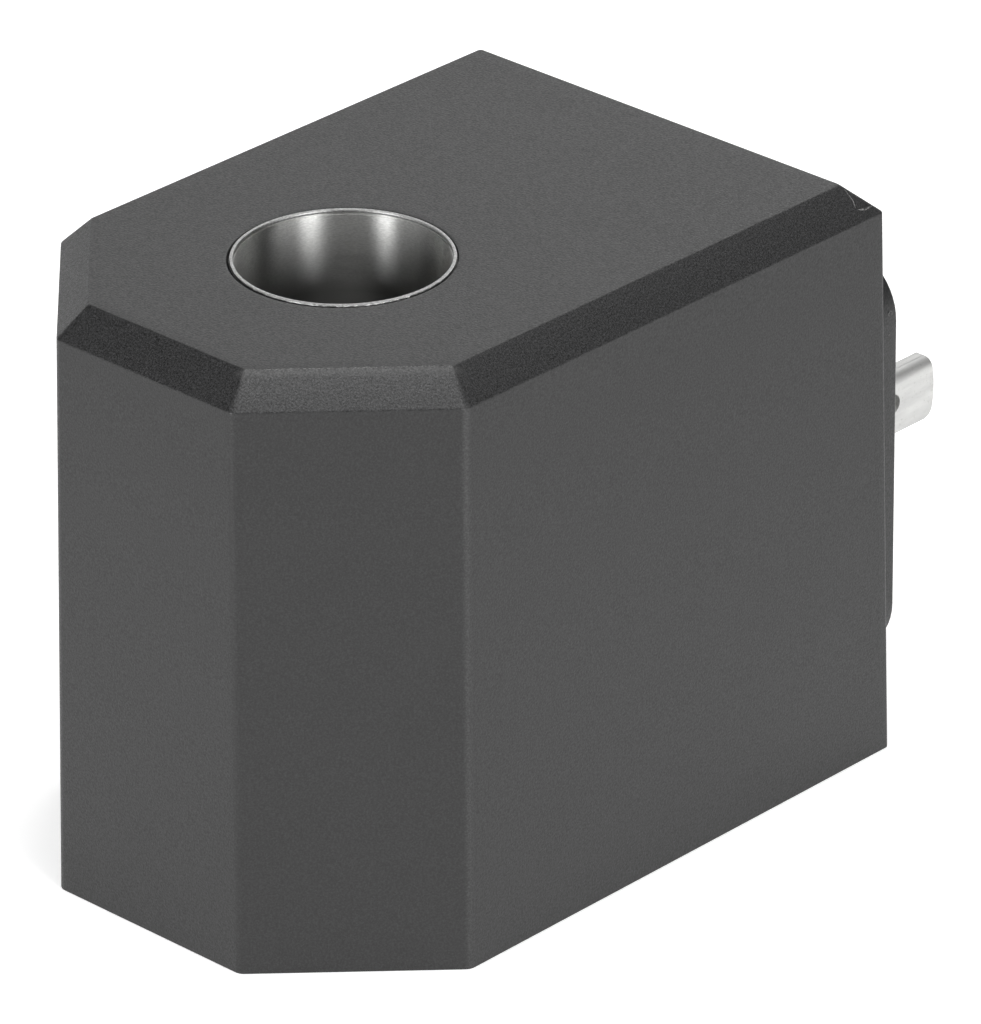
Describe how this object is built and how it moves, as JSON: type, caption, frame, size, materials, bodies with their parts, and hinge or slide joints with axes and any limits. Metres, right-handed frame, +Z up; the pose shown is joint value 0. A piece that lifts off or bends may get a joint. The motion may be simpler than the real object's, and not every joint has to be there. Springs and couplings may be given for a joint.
{
  "type": "solenoid valve coil",
  "caption": "Encapsulated solenoid valve coil: a chamfered block with a half-octagon nose, a metal-lined through bore for the armature tube, and a flat-pin connector pad on its back.",
  "frame": {"origin": "on the bore axis, at the bottom face", "axes": "+Z runs up the bore, +Y points from the bore to the connector pad, +X is to the right of the nose"},
  "size_m": [0.036, 0.0626, 0.04],
  "materials": {
    "moulded_plastic": "dark grey glass-filled encapsulation, fine moulded grain",
    "liner_steel": "drawn and turned thin steel tube",
    "yoke_steel": "zinc plated low carbon steel strip",
    "bush_steel": "turned free-cutting steel",
    "bobbin_plastic": "glass-filled polyamide",
    "copper_wire": "enamelled copper wire",
    "coil_tape": "polyester film tape",
    "tinned_contact": "tin plated brass strip",
    "rivet_steel": "plated steel",
    "insert_brass": "turned brass",
    "carrier_plastic": "glass-filled polyamide",
    "sleeve_plastic": "woven insulating sleeve",
    "solder": "tin solder"
  },
  "bodies": {
    "root": {"encapsulation": "moulded_plastic", "bore_liner": "liner_steel", "yoke_bracket": "yoke_steel", "upper_flux_bush": "bush_steel", "lower_flux_bush": "bush_steel", "bobbin": "bobbin_plastic", "winding": "copper_wire", "winding_tape": "coil_tape", "phase_pin_left": "tinned_contact", "phase_pin_right": "tinned_contact", "earth_pin": "tinned_contact", "earth_rivet": "rivet_steel", "threaded_insert": "insert_brass", "terminal_carrier": "carrier_plastic", "start_lead": "copper_wire", "finish_lead": "copper_wire", "start_lead_sleeve": "sleeve_plastic", "finish_lead_sleeve": "sleeve_plastic", "start_joint": "solder", "finish_joint": "solder"}
  },
  "joints": []
}
